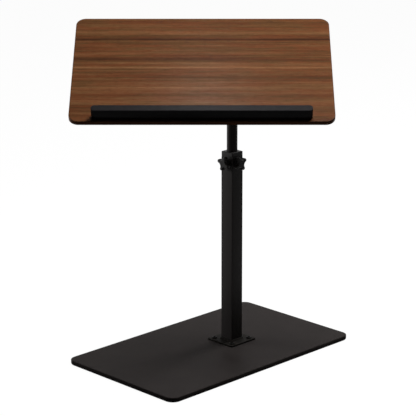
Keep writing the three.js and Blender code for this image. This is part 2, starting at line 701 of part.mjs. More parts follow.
const lipBottom = BOARD_THICK + SEAT_GAP;
const lipLong = BOARD_LONG - 2 * LIP_END_MARGIN;
const lipBar = plate(lipLong, LIP_DEEP, LIP_CORNER, lipBottom, LIP_TALL, LIP_CHAMFER).translate(0, lipY, 0);
const lipHoles = lipScrews.map(([x, y]) => (
  screwHole(lipBottom - CUT_OVERRUN, CUT_OVERRUN + LIP_BITE + PILOT_EXTRA).translate(x, y, 0)
));
add(board, 'book_stop', cut(lipBar, ...lipHoles), stopBlack);
lipScrews.forEach(([x, y], i) => {
  const screw = woodScrew(-SEAT_GAP, lipBottom + LIP_BITE);
  add(board, `stop_screw_${i + 1}`, screw.translate(x, y, 0), zincSteel);
});

export default table;
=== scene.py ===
"""The looks of a pedestal side table: a steel base, a square post, a sliding mast, a tilting walnut board.

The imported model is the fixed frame. Each section remakes one of its pieces, in the order in which the
table is put together, as a surface worked out from the size that the frame gives it. Metres, +Z up,
origin on the floor under the middle of the base, the post towards +X.
"""

import json
import math

import bmesh
import bpy
import numpy as np
from mathutils import Matrix


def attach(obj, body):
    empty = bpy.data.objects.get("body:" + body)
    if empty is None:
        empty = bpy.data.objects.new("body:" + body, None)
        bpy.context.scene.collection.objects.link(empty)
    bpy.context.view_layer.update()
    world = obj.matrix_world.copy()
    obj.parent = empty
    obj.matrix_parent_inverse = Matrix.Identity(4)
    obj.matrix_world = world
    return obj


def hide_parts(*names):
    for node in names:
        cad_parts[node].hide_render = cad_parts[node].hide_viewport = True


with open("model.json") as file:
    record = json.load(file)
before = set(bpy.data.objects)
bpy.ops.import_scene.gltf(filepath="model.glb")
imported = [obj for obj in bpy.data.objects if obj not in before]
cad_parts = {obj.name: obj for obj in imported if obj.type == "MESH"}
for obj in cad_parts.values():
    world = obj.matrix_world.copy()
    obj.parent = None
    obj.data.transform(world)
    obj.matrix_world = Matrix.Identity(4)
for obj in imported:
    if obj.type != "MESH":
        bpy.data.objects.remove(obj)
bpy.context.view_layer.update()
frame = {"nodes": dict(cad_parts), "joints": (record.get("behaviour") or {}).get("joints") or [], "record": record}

# Camera: a long lens, 3.5 m away and a little above the board, that looks down along the base's
# diagonal. Its shift puts the table where the photograph has it.
IMAGE_SIDE = 416
VIEW_CENTRE_X = 215.467
VIEW_CENTRE_Y = 190.783
CAMERA_PLACE = (-2.3029, -2.3147, 1.2181)
CAMERA_DOWN = math.radians(15.192)
CAMERA_TURN = math.radians(-45)
view = bpy.data.cameras.new("view")
view.lens = 150
view.sensor_width = 36
view.shift_x = (IMAGE_SIDE / 2 - VIEW_CENTRE_X) / IMAGE_SIDE
view.shift_y = (VIEW_CENTRE_Y - IMAGE_SIDE / 2) / IMAGE_SIDE
view.clip_end = 50


def added(name, data):
    """An object of the scene, made of a mesh, a lamp or a camera."""
    made = bpy.data.objects.new(name, data)
    bpy.context.scene.collection.objects.link(made)
    return made


camera = added("camera", view)
camera.location = CAMERA_PLACE
camera.rotation_euler = (math.pi / 2 - CAMERA_DOWN, 0, CAMERA_TURN)
bpy.context.scene.camera = camera

# Floor mat: a thin sheet of closed-cell foam, cut a little smaller than the base plate and glued under
# it, so that the steel doesn't scratch the floor.
MM = 0.001
BASE_CORNER = 19 * MM
MAT_EDGE = 0.4 * MM
MAT_LID = 3 * MM
FOAM_TONES = ((22, 22, 22), (38, 37, 36))
FOAM_GLOSS = 0.02
FOAM_CELL = 900
FOAM_WALL = (0.2, 0.6)
FOAM_ROUGH = (0.75, 0.95)
FOAM_DEEP = 0.1 * MM
GLOSS = "Specular IOR Level"
NOISE_RANGE = (0.3, 0.7)
SHARP_TURN = math.radians(35)


def colour(red, green, blue):
    """A colour from 0 to 255, as paint charts give it, in the linear light that shaders take."""
    share = np.array([red, green, blue]) / 255
    linear = np.where(share <= 0.04045, share / 12.92, ((share + 0.055) / 1.055) ** 2.4)
    return (*linear.tolist(), 1.0)


class Signal:
    """A number on its way through a material. The signs + - and * between signals add Math nodes."""

    def __init__(self, paint, socket):
        self.paint = paint
        self.socket = socket

    def maths(self, operation, first, second):
        return self.paint.node("ShaderNodeMath", {"operation": operation}, {0: first, 1: second})

    def __add__(self, other):
        return self.maths("ADD", self, other)

    def __sub__(self, other):
        return self.maths("SUBTRACT", self, other)

    def __rsub__(self, other):
        return self.maths("SUBTRACT", other, self)

    def __mul__(self, other):
        return self.maths("MULTIPLY", self, other)

    __radd__ = __add__
    __rmul__ = __mul__


class Nodes:
    """The nodes of a material or of the world."""

    def __init__(self, owner):
        owner.use_nodes = True
        self.tree = owner.node_tree

    def node(self, kind, settings, inputs, output=0):
        """Adds a node: first its settings, then its sockets' values or links. Gives one of its outputs."""
        made = self.tree.nodes.new(kind)
        for key, value in settings.items():
            setattr(made, key, value)
        for key, value in inputs.items():
            if isinstance(value, Signal):
                self.tree.links.new(value.socket, made.inputs[key])
            else:
                made.inputs[key].default_value = value
        return Signal(self, made.outputs[output])


class Paint(Nodes):
    """A material round one Principled shader, whose even values are set on the shader's own sockets."""

    def __init__(self, name, even):
        self.material = bpy.data.materials.new(name)
        super().__init__(self.material)
        self.shader = self.tree.nodes["Principled BSDF"]
        for socket, value in even.items():
            self.shader.inputs[socket].default_value = value

    def place(self):
        """Where a point of the piece is, in the table's frame."""
        return self.node("ShaderNodeTexCoord", {}, {}, "Object")

    def stretched(self, vector, along):
        """A vector with each of its three parts multiplied by its own number."""
        return self.node("ShaderNodeVectorMath", {"operation": "MULTIPLY"}, {0: vector, 1: along})

    def noise(self, scale, detail=2.0, vector=None):
        """Soft random hills, with scale of them to the metre."""
        sockets = {"Vector": vector or self.place(), "Scale": scale, "Detail": detail}
        return self.node("ShaderNodeTexNoise", {}, sockets)

    def climb(self, value, low, high, start=0.0, end=1.0):
        """A smooth climb from start to end while value goes from low to high."""
        sockets = {"Value": value, "From Min": low, "From Max": high, "To Min": start, "To Max": end}
        return self.node("ShaderNodeMapRange", {"interpolation_type": "SMOOTHSTEP"}, sockets)

    def mix(self, share, first, second):
        """A colour that is the first at share 0 and the second at share 1."""
        return self.node("ShaderNodeMix", {"data_type": "RGBA"}, {0: share, 6: first, 7: second}, 2)

    def drive(self, socket, value):
        """Lets a signal feed one of the shader's sockets."""
        self.tree.links.new(value.socket, self.shader.inputs[socket])

    def tint(self, share, tones):
        """Colours the surface with the first of two tones at share 0 and the second at share 1."""
        self.drive("Base Color", self.mix(share, *(colour(*tone) for tone in tones)))

    def roughen(self, noise, rough):
        """Takes the roughness from its first value to its second over most of a noise's range."""
        self.drive("Roughness", self.climb(noise, *NOISE_RANGE, *rough))

    def emboss(self, height, depth):
        """Raises the surface by depth where height is 1."""
        self.drive("Normal", self.node("ShaderNodeBump", {}, {"Height": height, "Distance": depth}))


def foam_finish():
    """Black foam: cut cells of about a millimetre, lighter on their walls."""
    paint = Paint("black_foam", {GLOSS: FOAM_GLOSS})
    cells = paint.node("ShaderNodeTexVoronoi", {}, {"Vector": paint.place(), "Scale": FOAM_CELL})
    wall = paint.climb(cells, *FOAM_WALL)
    paint.tint(wall, FOAM_TONES)
    paint.drive("Roughness", paint.climb(wall, 0, 1, *FOAM_ROUGH))
    paint.emboss(wall, FOAM_DEEP)
    return paint.material


def rounded(corners, radius, steps=4, closed=False):
    """A profile with round corners. Each corner gives way to an arc that touches both of its sides: the
    centre lies on the bisector, and the points swing evenly from one touching point to the other.
    An open profile keeps its two end points."""
    corners = np.asarray(corners, float)
    here = corners if closed else corners[1:-1]
    before = np.roll(corners, 1, 0) if closed else corners[:-2]
    after = np.roll(corners, -1, 0) if closed else corners[2:]
    back = (before - here) / np.linalg.norm(before - here, axis=1, keepdims=True)
    on = (after - here) / np.linalg.norm(after - here, axis=1, keepdims=True)
    half = np.arccos(np.clip((back * on).sum(1, keepdims=True), -1, 1)) / 2
    radius = np.broadcast_to(np.reshape(radius, (-1, 1)), half.shape)
    bisector = (back + on) / np.linalg.norm(back + on, axis=1, keepdims=True)
    centre = here + bisector * radius / np.sin(half)
    first = (here + back * radius / np.tan(half) - centre)[:, None]
    last = (here + on * radius / np.tan(half) - centre)[:, None]
    swing = (np.pi - 2 * half)[:, None]
    share = np.linspace(0, 1, steps + 1)[None, :, None]
    swung = np.sin((1 - share) * swing) * first + np.sin(share * swing) * last
    points = (centre[:, None] + swung / np.sin(swing)).reshape(-1, 2)
    return points if closed else np.vstack([corners[:1], points, corners[-1:]])


def around(turn):
    """The points at some turns on a circle of radius 1."""
    return np.stack([np.cos(turn), np.sin(turn)], -1)


def rectangle(long, wide, corner, inset, steps=12, least=0.3 * MM):
    """Rectangles with round corners, one for each inset: four quarter circles joined by straight sides.
    An inset moves the sides inwards and shortens the corners' radius by as much, down to the least."""
    inset = np.asarray(inset, float).reshape(-1, 1, 1)
    radius = np.maximum(corner - inset, least)
    quarter = np.arange(4).reshape(1, 4, 1) * np.pi / 2
    turn = quarter + np.linspace(0, np.pi / 2, steps + 1)
    side_x = np.array([1, -1, -1, 1]).reshape(1, 4, 1)
    side_y = np.array([1, 1, -1, -1]).reshape(1, 4, 1)
    centre = np.stack([side_x * (long / 2 - inset - radius), side_y * (wide / 2 - inset - radius)], -1)
    return (centre + radius[..., None] * around(turn)).reshape(len(radius), -1, 2)


def rim(low, high, lid, ease, edge=0, steps=4):
    """An edge profile: from a lower lid out to the edge, up it, and back to an upper lid."""
    return rounded([(lid, low), (edge, low), (edge, high), (lid, high)], ease, steps)


def lifted(outlines, heights):
    """A stack of rings: each flat outline raised to its own height."""
    level = np.broadcast_to(np.reshape(heights, (-1, 1, 1)), (*outlines.shape[:2], 1))
    return np.concatenate([outlines, level], -1)


def smooth(name, mesh, finish):
    """A piece with a finish, smooth but for the edges that turn sharply."""
    mesh.shade_smooth()
    mesh.set_sharp_from_angle(angle=SHARP_TURN)
    mesh.materials.append(finish)
    return added(name, mesh)


def loft(name, rings, finish, closed=False):
    """A skin over a stack of rings with as many points each. Quads join neighbours round a ring and from
    ring to ring. A closed stack joins its last ring to its first, and an open one gets two flat lids.
    The UV map holds metres round the first ring and metres up the stack."""
    rows, columns = rings.shape[:2]
    index = np.arange(rows * columns).reshape(rows, columns)
    lower = index if closed else index[:-1]
    upper = np.roll(index, -1, 0) if closed else index[1:]
    quads = np.stack([lower, np.roll(lower, -1, 1), np.roll(upper, -1, 1), upper], -1).reshape(-1, 4)
    lids = [] if closed else [index[0, ::-1].tolist(), index[-1].tolist()]
    mesh = bpy.data.meshes.new(name)
    mesh.from_pydata(rings.reshape(-1, 3).tolist(), [], quads.tolist() + lids)

    step_round = np.linalg.norm(np.roll(rings[0], -1, 0) - rings[0], axis=1)
    step_up = np.linalg.norm(np.roll(rings, -1, 0) - rings, axis=2).max(1)[:len(lower)]
    u = np.concatenate([[0], np.cumsum(step_round)])
    v = np.concatenate([[0], np.cumsum(step_up)])
    left, low = np.meshgrid(u[:-1], v[:-1])
    right, high = np.meshgrid(u[1:], v[1:])
    corners = np.stack([left, low, right, low, right, high, left, high], -1)
    coordinates = np.zeros(2 * len(mesh.loops))
    coordinates[:corners.size] = corners.ravel()
    mesh.uv_layers.new(name="UVMap").data.foreach_set("uv", coordinates)
    return smooth(name, mesh, finish)


def fit(piece, body, slot, *nodes):
    """Puts a finished piece on its body, in place of the frame's own nodes."""
    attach(piece, body)
    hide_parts(*nodes)
    return piece


def plate(box, corner, profile, steps=12):
    """A plate with round corners: an edge profile of insets and heights, carried round a box's outline."""
    low, high = box
    outlines = rectangle(*(high - low)[:2], corner, profile[:, 0], steps)
    return lifted(outlines, profile[:, 1]) + (low + high) / 2 * (1, 1, 0)


class Seat:
    """A point of the table with three unit axes, on which pieces are measured and drawn."""

    def __init__(self, origin, axes=np.eye(3)):
        self.origin = np.array(origin, float)
        self.axes = axes

    def points(self, node):
        """Every corner of a frame node's mesh, one row each."""
        mesh = frame["nodes"][node].data
        flat = np.empty(3 * len(mesh.vertices), np.float32)
        mesh.vertices.foreach_get("co", flat)
        return (flat.reshape(-1, 3) - self.origin) @ self.axes.T

    def box(self, node):
        """A frame node's least and greatest corner."""
        points = self.points(node)
        return np.stack([points.min(0), points.max(0)])

    def reach(self, node):
        """A frame node seen along Z: its least and greatest radius, and where it starts and ends."""
        x, y, z = self.points(node).T
        radius = np.hypot(x, y)
        return radius.min(), radius.max(), z.min(), z.max()

    def placed(self, rings):
        """Rings drawn on the seat's axes, set down in the table's."""
        return self.origin + rings @ self.axes

    def fit(self, name, rings, finish, body, slot, node, closed=False):
        """Skins rings that are drawn on the seat's axes, and puts them in place of a frame node."""
        return fit(loft(name, self.placed(rings), finish, closed), body, slot, node)


table = Seat((0, 0, 0))
mat_box = table.box("base_mat")
mat_margin = (table.box("base_plate") - mat_box)[1, 0]
mat_rings = plate(mat_box, BASE_CORNER - mat_margin, rim(*mat_box[:, 2], MAT_LID, MAT_EDGE))
table.fit("floor_mat", mat_rings, foam_finish(), "base", "foam_mat", "base_mat")

# Base plate: one piece of 8 mm steel with eased rims and round corners, heavy enough to balance the
# board, under a charcoal powder coat with a fine sandy texture.
PLATE_EASES = (0.8 * MM, 1.1 * MM)
PLATE_LID = 5 * MM
COAT_TONES = ((46, 42, 41), (59, 55, 54))
COAT_GLOSS = 0.008
COAT_ROUGH = (0.44, 0.54)
SAND_DEEP = 0.08 * MM
SAND_GRAIN = 1500
CLOUD_GRAIN = 14


def sandy_coat():
    """Charcoal powder coat: grains of under a millimetre, over clouds that are barely seen."""
    paint = Paint("sandy_coat", {GLOSS: COAT_GLOSS})
    grain = paint.noise(SAND_GRAIN, 3.0)
    cloud = paint.noise(CLOUD_GRAIN, 3.0)
    paint.tint(paint.climb(grain * 0.5 + cloud * 0.5, *NOISE_RANGE), COAT_TONES)
    paint.roughen(cloud, COAT_ROUGH)
    paint.emboss(grain, SAND_DEEP)
    return paint.material


base_box = table.box("base_plate")
base_rings = plate(base_box, BASE_CORNER, rim(*base_box[:, 2], PLATE_LID, PLATE_EASES))
table.fit("steel_base", base_rings, sandy_coat(), "base", "base_coat", "base_plate")

# Post: square tube on a square foot flange, joined by a weld that runs round it, all in one satin black
# powder coat. The tube gets a lighter copy of the coat, as painted light on its sides, and the flange and
# weld get a darker, duller copy, as painted shade. The foot is bolted to the base plate.
FOOT_CORNER = 4 * MM
FOOT_EASE = 0.5 * MM
FOOT_LID = 3 * MM
POST_CORNER = 1 * MM
POST_STEPS = 6
POST_WALL = 1.5 * MM
POST_RIM = 0.3 * MM
CROSS_BORE = 4.8 * MM
BORE_COLUMNS = 64
BORE_BAND = 6 * MM
WELD_LEG = 3 * MM
WELD_RIPPLE = 0.2 * MM
WELD_PITCH = 2.4 * MM
WELD_HOLLOW = 0.16
WELD_STATIONS = 320
SATIN_TONES = ((40, 37, 36), (49, 46, 45))
SATIN_GLOSS = 0.04
SATIN_ROUGH = (0.36, 0.46)
# The post's tones: the same satin coat painted lighter, as painted light on the tube's sides.
POST_LIT_TONES = ((59, 56, 55), (72, 69, 68))
# The foot's tones and gloss: the same satin coat painted darker and duller, as painted shade on the flange and
# weld.
FOOT_SHADED_TONES = ((37, 35, 33), (45, 43, 41))
FOOT_GLOSS = 0.005
PEEL_GRAIN = 420
PEEL_DEEP = 0.06 * MM
DUST_GRAIN = 2600


def satin_coat(name, tones, gloss=SATIN_GLOSS):
    """Satin black powder coat: a soft orange peel of 2 mm hills with a finer grain on it."""
    paint = Paint(name, {GLOSS: gloss})
    peel = paint.noise(PEEL_GRAIN, 1.0)
    dust = paint.noise(DUST_GRAIN)
    paint.tint(dust, tones)
    paint.roughen(peel * 0.6 + dust * 0.4, SATIN_ROUGH)
    paint.emboss(peel + dust * 0.3, PEEL_DEEP)
    return paint.material


def axes_along(z_axis, x_axis):
    """Three unit rows: the local X, Y and Z of a frame that points along z_axis."""
    z = np.array(z_axis, float) / np.linalg.norm(z_axis)
    y = np.cross(z, x_axis)
    y /= np.linalg.norm(y)
    return np.stack([np.cross(y, z), y, z])


def cross_bored(piece):
    """A piece with a round bore from each height clamp's side in to the post's middle, where the clamp's
    insert sits and its pad slides: two cylinders are taken away from it, and their rims are kept sharp."""
    circle = CROSS_BORE * around(np.linspace(0, 2 * np.pi, BORE_COLUMNS, endpoint=False))
    rings = lifted(np.stack([circle, circle]), [-post_side / 2, CROSS_BORE])
    drills = []
    for side, clamp in clamps.items():
        drills.append(loft(f"drill_{side}", clamp.placed(rings), piece.data.materials[0]))
        bore = piece.modifiers.new(side, "BOOLEAN")
        bore.operation = "DIFFERENCE"
        bore.solver = "EXACT"
        bore.object = drills[-1]
    bored = piece.evaluated_get(bpy.context.evaluated_depsgraph_get())
    mesh = bpy.data.meshes.new_from_object(bored)
    mesh.set_sharp_from_angle(angle=SHARP_TURN)
    piece.modifiers.clear()
    piece.data = mesh
    for drill in drills:
        bpy.data.objects.remove(drill)
    return piece


satin_black = satin_coat("satin_black", SATIN_TONES)
# A lighter copy of the satin coat for the tube: painted light.
post_painted_light = satin_coat("post_painted_light", POST_LIT_TONES)
# A darker, duller copy of the satin coat for the flange and weld: painted shade.
foot_painted_shade = satin_coat("foot_painted_shade", FOOT_SHADED_TONES, FOOT_GLOSS)
joints = {joint["name"]: joint for joint in frame["joints"]}
clamps = {}
for side in ("side", "front"):
    joint = joints[f"{side}_clamp_turn"]
    clamps[side] = Seat(joint["pos_m"], axes_along(joint["axis"], (0, 0, -1)))

foot_box = table.box("foot_flange")
foot_rings = plate(foot_box, FOOT_CORNER, rim(*foot_box[:, 2], FOOT_LID, FOOT_EASE))
table.fit("foot_plate", foot_rings, foot_painted_shade, "base", "black_steel", "foot_flange")

post_box = table.box("post_tube")
post_side = np.ptp(post_box[:, 0])
post_foot, post_top = post_box[:, 2]
post_axis = Seat(post_box.mean(0) * (1, 0, 0))
bore_high = clamps["side"].origin[2]
post_wall = rounded(
    [(0, post_foot), (0, post_top), (POST_WALL, post_top), (POST_WALL, post_foot)], POST_RIM, closed=True,
)
foot_rim, top_rim, top_inside, foot_inside = np.split(post_wall, 4)
under, over = bore_high - BORE_BAND, bore_high + BORE_BAND
outer_band = [(0, under), (0, over)]
inner_band = [(POST_WALL, over), (POST_WALL, under)]
post_wall = np.vstack([foot_rim, outer_band, top_rim, top_inside, inner_band, foot_inside])
post_rings = plate(post_box, POST_CORNER, post_wall, POST_STEPS)
square_post = cross_bored(loft("square_post", post_rings, post_painted_light, closed=True))
fit(square_post, "base", "black_steel", "post_tube")


def weld_rings(side, corner, level, steps=8):
    """A fillet weld round a square foot. The outline and its outward normals are taken at even steps,
    and each carries a quarter round whose leg swells and shrinks a little with every ripple."""
    outer, inner = rectangle(side, side, corner, [0, corner / 10], POST_STEPS)
    normal = (outer - inner) / np.linalg.norm(outer - inner, axis=1, keepdims=True)
    path = np.vstack([np.hstack([outer, normal]), np.hstack([outer, normal])[:1]])
    reach = np.concatenate([[0], np.cumsum(np.linalg.norm(np.diff(path[:, :2], axis=0), axis=1))])
    even = np.linspace(0, reach[-1], WELD_STATIONS, endpoint=False)
    x, y, normal_x, normal_y = (np.interp(even, reach, column) for column in path.T)
    ripples = round(reach[-1] / WELD_PITCH)
    leg = WELD_LEG + WELD_RIPPLE * np.cos(2 * np.pi * ripples * even / reach[-1])
    angle = np.linspace(0, np.pi / 2, steps)[:, None]
    belly = leg * (1 - WELD_HOLLOW * np.sin(2 * angle))
    root = np.zeros((1, WELD_STATIONS))
    out = np.vstack([root, belly * np.cos(angle)])
    up = np.vstack([root, belly * np.sin(angle)])
    return np.stack([x + out * normal_x, y + out * normal_y, level + up], -1)


bead = post_axis.placed(weld_rings(post_side, POST_CORNER, post_foot))
# The weld takes the foot's darker copy of the coat: painted shade.
weld = loft("foot_weld", bead, foot_painted_shade, closed=True)
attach(weld, "base")

# Foot bolts: four button heads with a hexagon socket, in blackened steel, one in each corner of the
# flange. They go down into threads in the base plate.
BOLT_SHANK = 3 * MM
BOLT_RIM = 2.7 * MM
BOLT_SHOULDER = 0.9 * MM
BOLT_TIP = 0.6 * MM
SOCKET_FLATS = 4 * MM
SOCKET_DEEP = 1.8 * MM
SOCKET_MOUTH = 0.25 * MM
OXIDE_TONES = ((22, 21, 20), (36, 35, 34))


def hexagon(turn, flats):
    """How far a hexagon's edge is from its middle at each turn: half its width over the cosine of the
    angle to the nearest flat."""
    return flats / 2 / np.cos((turn + np.pi / 6) % (np.pi / 3) - np.pi / 6)


def turned(profile, flats=None, columns=72):
    """A profile of radius and height spun round Z. Where a row has a width across flats, its radius is
    held within that hexagon."""
    turn = np.linspace(0, 2 * np.pi, columns, endpoint=False)[None]
    radius = profile[:, :1] * np.ones_like(turn)
    if flats is not None:
        radius = np.minimum(radius, hexagon(turn, np.reshape(flats, (-1, 1))))
    return lifted(radius[..., None] * around(turn), profile[:, 1])


def button_bolt(low, seat, top, shank, head):
    """A button-head bolt: a plain shank, a quarter-ellipse dome, and a six-sided socket down its middle."""
    shaft = [(shank - BOLT_TIP, low), (shank, low + BOLT_TIP), (shank, seat), (head, seat)]
    swing = np.linspace(0, np.pi / 2, 9)
    dome_radius = BOLT_RIM + (head - BOLT_RIM) * np.cos(swing)
    dome_height = seat + BOLT_SHOULDER + (top - seat - BOLT_SHOULDER) * np.sin(swing)
    round_rows = np.vstack([shaft, np.stack([dome_radius, dome_height], -1)])
    socket_rows = np.array([(head, top - SOCKET_MOUTH), (head, top - SOCKET_DEEP)])
    flats = np.concatenate([np.full(len(round_rows), np.inf), [SOCKET_FLATS, SOCKET_FLATS]])
    return turned(np.vstack([round_rows, socket_rows]), flats)


def mottled(name, even, cloud, tones, haze, rough, hills, depth):
    """A finish of three noises, each given as scale and detail: a cloud that turns the colour, a haze
    that turns the roughness, and hills that raise the surface."""
    paint = Paint(name, even)
    paint.tint(paint.noise(*cloud), tones)
    paint.roughen(paint.noise(*haze), rough)
    paint.emboss(paint.noise(*hills), depth)
    return paint.material


# Blackened steel: a thin oily oxide, a little patchy.
black_oxide = mottled(
    "black_oxide", {"Metallic": 0.1, GLOSS: 0.02}, cloud=(350, 3), tones=OXIDE_TONES,
    haze=(350, 3), rough=(0.36, 0.5), hills=(2200, 2), depth=0.02 * MM,
)
for number in range(1, 5):
    node = f"foot_bolt_{number}"
    bolt_box = table.box(node)
    bolt = Seat(bolt_box.mean(0) * (1, 1, 0))
    low, high = bolt_box[:, 2]
    rings = button_bolt(low, post_foot, high, BOLT_SHANK, np.ptp(bolt_box[:, 0]) / 2)
    bolt.fit(f"button_bolt_{number}", rings, black_oxide, "base", "black_bolt", node)

# Collar bush: moulded nylon. A square head sits on the post, a sleeve goes down inside it, and the mast
# runs in the round bore.
BUSH_CORNER = 1.6 * MM
BUSH_EASE = 1 * MM
BUSH_FLAT = 2.6 * MM
BUSH_MOUTH = 0.6 * MM
SLEEVE_EASE = 0.4 * MM
PLASTIC_TONES = ((60, 59, 59), (75, 74, 73))


def moulded_finish(name, gloss, bloom, tones, skin, share, rough, depth):
    """Moulded plastic: a bloom turns its colour, its mould's fine skin raises it, and the roughness takes
    the bloom's share from the bloom and the rest from the skin."""
    paint = Paint(name, {GLOSS: gloss})
    bloom = paint.noise(*bloom)
    skin = paint.noise(skin)
    paint.tint(bloom, tones)
    paint.roughen(bloom * share + skin * (1 - share), rough)
    paint.emboss(skin, depth)
    return paint.material


def bored_block(side, corner, profile, bore):
    """A square block with a round bore. The profile's insets and heights go round the square, and the
    bore's radii and heights are turned at the square's own angles, so that the two join in quads."""
    square = rectangle(side, side, corner, profile[:, 0])
    turn = np.arctan2(square[-1, :, 1], square[-1, :, 0])
    circles = bore[:, :1, None] * around(turn)
    return np.concatenate([lifted(square, profile[:, 1]), lifted(circles, bore[:, 1])])


# Moulded black nylon: the spark-eroded skin of its mould, with a faint bloom.
moulded_black = moulded_finish(
    "moulded_black", gloss=0.06, bloom=(60, 2), tones=PLASTIC_TONES, skin=3000, share=0.5,
    rough=(0.42, 0.56), depth=0.04 * MM,
)
bore, _, low, high = post_axis.reach("collar_bush")
bush = post_axis.points("collar_bush")
inset = post_side / 2 - bush[bush[:, 2] < low + MM, 0].max()
bush_profile = rounded(
    [(inset + BUSH_EASE, low), (inset, low), (inset, post_top), (0, post_top), (0, high), (BUSH_FLAT, high)],
    [SLEEVE_EASE, SLEEVE_EASE / 2, SLEEVE_EASE / 2, BUSH_EASE],
)
mouth = bore + BUSH_MOUTH
bore_profile = np.array([(mouth, high), (bore, high - BUSH_MOUTH), (bore, low + BUSH_MOUTH), (mouth, low)])
bush_rings = post_axis.placed(bored_block(post_side, BUSH_CORNER, bush_profile, bore_profile))
collar = cross_bored(loft("collar_bush_moulding", bush_rings, moulded_black, closed=True))
fit(collar, "base", "black_plastic", "collar_bush")

# Height clamps: on two sides of the post a flanged steel insert is set in the wall. A screw runs in it
# and presses a nylon pad on the mast, turned by a small four-lobed knob that is moulded on it.
HEIGHT_KNOB = {
    "neck": 4.7 * MM, "neck_long": 2.5 * MM, "lobe": 3.7 * MM, "waist": 8 * MM,
    "eases": (0.9 * MM, 2.2 * MM), "eye": 2.2 * MM, "eye_deep": 0.3 * MM,
}
KNOB_LOBES = 4
KNOB_EYE_FLAT = 0.3 * MM
NECK_EASE = 0.4 * MM
INSERT_WALL = 1.2 * MM
TURNED_EASE = 0.25 * MM
ZINC_TONES = ((186, 189, 194), (200, 196, 182))
BLACK_ZINC_TONES = ((40, 41, 43), (48, 47, 45))
NYLON_TONES = ((226, 222, 208), (208, 202, 184))


def zinc_finish(name, tones):
    """Zinc plate on steel: a little cloudy, cool with a warm bloom here and there."""
    return mottled(
        name, {"Metallic": 1.0}, cloud=(180, 3), tones=tones, haze=(900, 2), rough=(0.26, 0.42),
        hills=(1800, 2), depth=0.015 * MM,
    )


def star(reach, lobe, waist, inset, lobes=KNOB_LOBES, steps=10):
    """Outlines of a lobed knob, one for each inset: round lobes joined by hollow arcs that touch them and
    come in to the waist. An inset takes from the lobes' radius and gives as much to the hollows'."""
    inset = np.asarray(inset, float).reshape(-1, 1, 1)
    lobe_at = reach - lobe
    half = np.pi / lobes
    slack = lobe - waist
    hollow_at = (lobe_at**2 - slack**2) / (2 * (slack + lobe_at * np.cos(half)))
    lean = np.arctan2(hollow_at * np.sin(half), hollow_at * np.cos(half) - lobe_at)
    spread = 2 * (lean - half)
    first = (2 * half * np.arange(lobes)).reshape(1, -1, 1)
    share = np.linspace(0, 1, steps, endpoint=False)
    out_turn = first - lean + 2 * lean * share
    in_turn = first + lean + np.pi - spread * share
    out_radius = lobe - inset
    in_radius = hollow_at - waist + inset
    lobes_out = lobe_at * around(first) + out_radius[..., None] * around(out_turn)
    hollows_in = hollow_at * around(first + half) + in_radius[..., None] * around(in_turn)
    return np.concatenate([lobes_out, hollows_in], -2).reshape(len(inset), -1, 2)


def lobed_knob(reach, low, high, neck, neck_long, lobe, waist, eases, eye, eye_deep):
    """A lobed knob on a round neck. The neck and the eye in its front are circles at the star's own
    angles, and the star between them has a tight back rim and a fuller front one."""
    back = low + neck_long
    edge = rim(back, high, eases[1] * 1.2, eases, steps=6)
    body = star(reach, lobe, waist, edge[:, 0])
    direction = around(np.arctan2(body[0, :, 1], body[0, :, 0]))
    stalk = np.array([(neck - NECK_EASE, low), (neck, low + NECK_EASE), (neck, back)])
    floor = high - eye_deep
    front = np.array([(eye + KNOB_EYE_FLAT, high), (eye, high), (eye - eye_deep, floor), (eye / 2, floor)])
    stalk_rings = lifted(stalk[:, :1, None] * direction, stalk[:, 1])
    front_rings = lifted(front[:, :1, None] * direction, front[:, 1])
    return np.concatenate([stalk_rings, lifted(body, edge[:, 1]), front_rings])


def fit_knob(seat, name, sizes, body, node):
    """A lobed knob in place of a frame node, turned until a lobe points where the node's does."""
    points = seat.points(node)
    x, y, _ = points[np.hypot(points[:, 0], points[:, 1]).argmax()]
    turned_seat = Seat(seat.origin, axes_along(seat.axes[2], x * seat.axes[0] + y * seat.axes[1]))
    rings = lobed_knob(*seat.reach(node)[1:], **sizes)
    turned_seat.fit(name, rings, moulded_black, body, "black_plastic", node)


def rod_rings(radius, low, high):
    """A round rod with eased ends."""
    return turned(rim(low, high, radius / 2, TURNED_EASE, radius))


def tube_rings(inner, outer, low, high, ease=TURNED_EASE, columns=72):
    """A round tube or washer: a rectangle with eased corners, spun round the axis."""
    wall = rounded([(outer, low), (outer, high), (inner, high), (inner, low)], ease, closed=True)
    return turned(wall, columns=columns)


zinc_plate = zinc_finish("zinc_plate", ZINC_TONES)
black_zinc = zinc_finish("black_zinc", BLACK_ZINC_TONES)
# Natural nylon: waxy off-white that lets a little light in.
natural_nylon = mottled(
    "natural_nylon", {"Subsurface Weight": 0.15, "Subsurface Scale": 2 * MM}, cloud=(220, 2),
    tones=NYLON_TONES, haze=(1200, 2), rough=(0.38, 0.5), hills=(2600, 2), depth=0.02 * MM,
)
for side, clamp in clamps.items():
    node = f"clamp_insert_{side}"
    bore, flange, low, high = clamp.reach(node)
    barrel = bore + INSERT_WALL
    wall = rounded(
        [(barrel, low), (barrel, 0), (flange, 0), (flange, high), (bore, high), (bore, low)],
        TURNED_EASE, closed=True,
    )
    clamp.fit(f"insert_{side}", turned(wall), black_zinc, "base", "zinc_steel", node, closed=True)

    node = f"pressure_pad_{side}"
    pad = rod_rings(*clamp.reach(node)[1:])
    clamp.fit(f"pad_{side}", pad, natural_nylon, f"{side}_clamp_pad", "nylon", node)

    node = f"clamp_screw_{side}"
    screw = rod_rings(*clamp.reach(node)[1:])
    clamp.fit(f"screw_{side}", screw, black_zinc, f"{side}_clamp_knob", "zinc_steel", node)

    fit_knob(clamp, f"height_knob_{side}", HEIGHT_KNOB, f"{side}_clamp_knob", f"clamp_knob_{side}")

